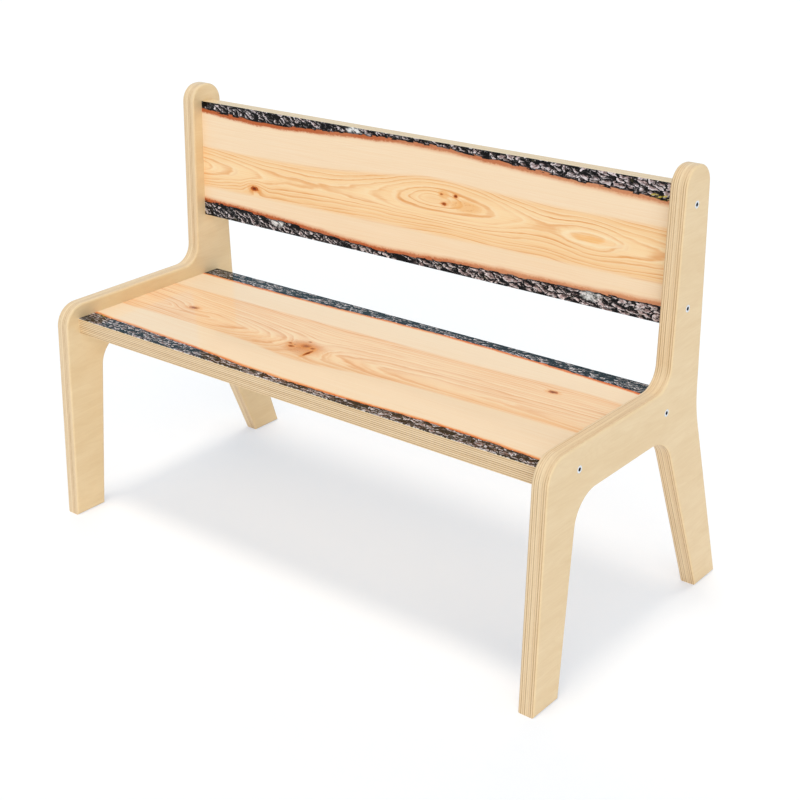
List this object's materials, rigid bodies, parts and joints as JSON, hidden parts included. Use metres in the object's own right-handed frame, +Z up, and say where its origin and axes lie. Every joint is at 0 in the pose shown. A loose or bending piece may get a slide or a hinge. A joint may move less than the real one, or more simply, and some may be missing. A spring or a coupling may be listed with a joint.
{
  "type": "live edge bench",
  "caption": "Low plywood bench with one-piece splayed side frames, a level seat and a leaning back, both faced with a glossy live-edge wood print.",
  "frame": {"origin": "on the floor, midway between the side frames and midway between the front and rear toes", "axes": "+X to the sitter's left along the seat (the viewer's right, seen from the front), +Y from front to rear, +Z up"},
  "size_m": [0.889, 0.45, 0.6155],
  "materials": {
    "birch_plywood": "clear satin lacquer over pale birch, plies showing on the edges",
    "printed_laminate": "glossy laminate printed with pine boards and bark along the long edges",
    "zinc_steel": "bright zinc plate"
  },
  "bodies": {
    "root": {"right_side_frame": "birch_plywood", "left_side_frame": "birch_plywood", "seat_board": "birch_plywood", "seat_laminate": "printed_laminate", "back_board": "birch_plywood", "back_laminate": "printed_laminate", "right_seat_screws": "zinc_steel", "left_seat_screws": "zinc_steel", "right_back_screws": "zinc_steel", "left_back_screws": "zinc_steel"}
  },
  "joints": []
}
